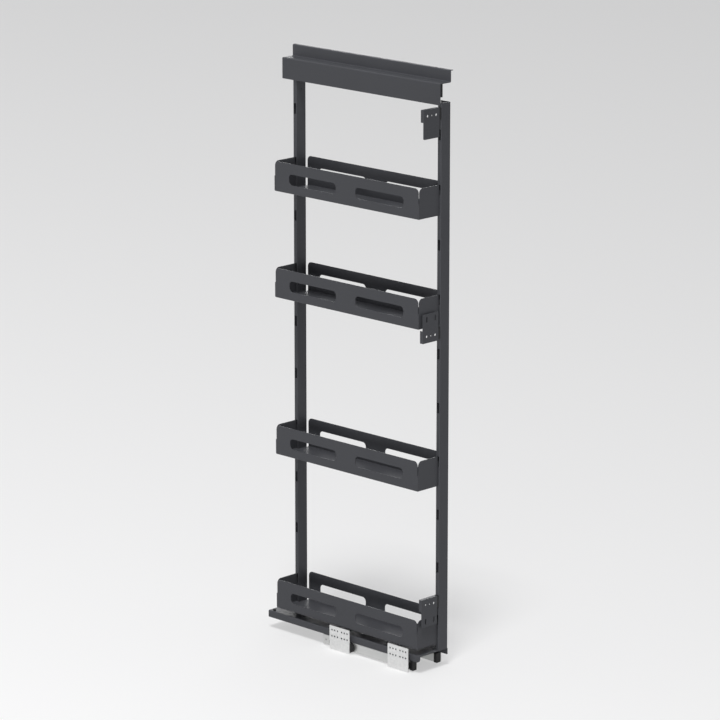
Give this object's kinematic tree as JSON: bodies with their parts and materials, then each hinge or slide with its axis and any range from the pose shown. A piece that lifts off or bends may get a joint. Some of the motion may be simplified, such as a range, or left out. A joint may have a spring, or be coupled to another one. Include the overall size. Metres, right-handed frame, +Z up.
{
  "type": "pull out pantry frame",
  "caption": "Tall narrow pull-out larder frame: slotted uprights with hung sheet baskets on a tray with telescopic ball slides, guided by a top rail.",
  "frame": {"origin": "bottom centre of the bounding box, at the lower edge of the mounting plates", "axes": "+X is the pull-out direction and points at the door, +Y points from the open side of the baskets to the uprights, +Z is up"},
  "size_m": [0.512, 0.114, 1.414],
  "materials": {
    "coat": "anthracite powder coat, satin",
    "dark_coat": "dark anthracite powder coat, satin",
    "slide_zinc": "bright zinc plating",
    "plate_zinc": "pale zinc plating, satin",
    "black_plastic": "moulded, fine grain",
    "rubber": "moulded",
    "steel": "plain bright steel",
    "black_steel": "black coat, matt",
    "roller_plastic": "turned, satin"
  },
  "bodies": {
    "cabinet_fixed": {"top_rail": "coat", "guide_track": "dark_coat", "track_rivets": "coat", "slide_outer_near": "slide_zinc", "slide_outer_far": "slide_zinc", "mount_plate_near_front": "plate_zinc", "mount_plate_near_rear": "plate_zinc", "mount_plate_far_front": "plate_zinc", "mount_plate_far_rear": "plate_zinc", "spacer_near_front": "black_plastic", "spacer_near_rear": "black_plastic", "spacer_far_front": "black_plastic", "spacer_far_rear": "black_plastic", "plate_rivets": "steel"},
    "pull_out": {"slide_inner_near": "slide_zinc", "slide_inner_far": "slide_zinc", "slide_cap_near": "black_plastic", "slide_cap_far": "black_plastic", "carrier_front": "slide_zinc", "carrier_rear": "slide_zinc", "carrier_screws": "steel", "base_tray": "coat", "tray_bumper": "rubber", "upright_front_flange": "coat", "upright_front_lip": "coat", "upright_front_web": "coat", "upright_front_wing": "coat", "upright_front_foot": "coat", "upright_rear_flange": "coat", "upright_rear_lip": "coat", "upright_rear_web": "coat", "upright_rear_wing": "coat", "upright_rear_foot": "coat", "upright_screws": "steel", "basket_1": "coat", "basket_2": "coat", "basket_3": "coat", "basket_4": "coat", "door_bracket_top": "coat", "door_bracket_middle": "coat", "door_bracket_bottom": "coat", "bracket_arm_top": "black_steel", "bracket_arm_middle": "black_steel", "bracket_arm_bottom": "black_steel", "bracket_screws": "black_steel", "roller_bracket": "slide_zinc", "roller_bracket_screws": "coat", "roller_axle": "steel"},
    "middle_near": {"slide_middle_near": "slide_zinc"},
    "cage_outer_near": {"cage_outer_near": "steel", "balls_outer_near": "steel"},
    "cage_inner_near": {"cage_inner_near": "steel", "balls_inner_near": "steel"},
    "middle_far": {"slide_middle_far": "slide_zinc"},
    "cage_outer_far": {"cage_outer_far": "steel", "balls_outer_far": "steel"},
    "cage_inner_far": {"cage_inner_far": "steel", "balls_inner_far": "steel"},
    "roller": {"guide_roller": "roller_plastic"}
  },
  "joints": [
    {"name": "frame_slide", "type": "slide", "parent": "cabinet_fixed", "child": "pull_out", "axis": [1, 0, 0], "range_m": [0, 0.28]},
    {"name": "middle_slide_near", "type": "slide", "parent": "cabinet_fixed", "child": "middle_near", "axis": [1, 0, 0], "range_m": [0, 0.14]},
    {"name": "cage_slide_outer_near", "type": "slide", "parent": "cabinet_fixed", "child": "cage_outer_near", "axis": [1, 0, 0], "range_m": [0, 0.07]},
    {"name": "cage_slide_inner_near", "type": "slide", "parent": "cabinet_fixed", "child": "cage_inner_near", "axis": [1, 0, 0], "range_m": [0, 0.21]},
    {"name": "middle_slide_far", "type": "slide", "parent": "cabinet_fixed", "child": "middle_far", "axis": [1, 0, 0], "range_m": [0, 0.14]},
    {"name": "cage_slide_outer_far", "type": "slide", "parent": "cabinet_fixed", "child": "cage_outer_far", "axis": [1, 0, 0], "range_m": [0, 0.07]},
    {"name": "cage_slide_inner_far", "type": "slide", "parent": "cabinet_fixed", "child": "cage_inner_far", "axis": [1, 0, 0], "range_m": [0, 0.21]},
    {"name": "roller_spin", "type": "hinge", "parent": "pull_out", "child": "roller", "pos_m": [-0.228, 0.032, 1.36], "axis": [0, 0, 1], "continuous": true}
  ],
  "couplings": [
    {"joint": "middle_slide_near", "follows": "frame_slide", "ratio": 0.5},
    {"joint": "cage_slide_outer_near", "follows": "frame_slide", "ratio": 0.25},
    {"joint": "cage_slide_inner_near", "follows": "frame_slide", "ratio": 0.75},
    {"joint": "middle_slide_far", "follows": "frame_slide", "ratio": 0.5},
    {"joint": "cage_slide_outer_far", "follows": "frame_slide", "ratio": 0.25},
    {"joint": "cage_slide_inner_far", "follows": "frame_slide", "ratio": 0.75},
    {"joint": "roller_spin", "follows": "frame_slide", "rad_per_m": -83.333}
  ]
}
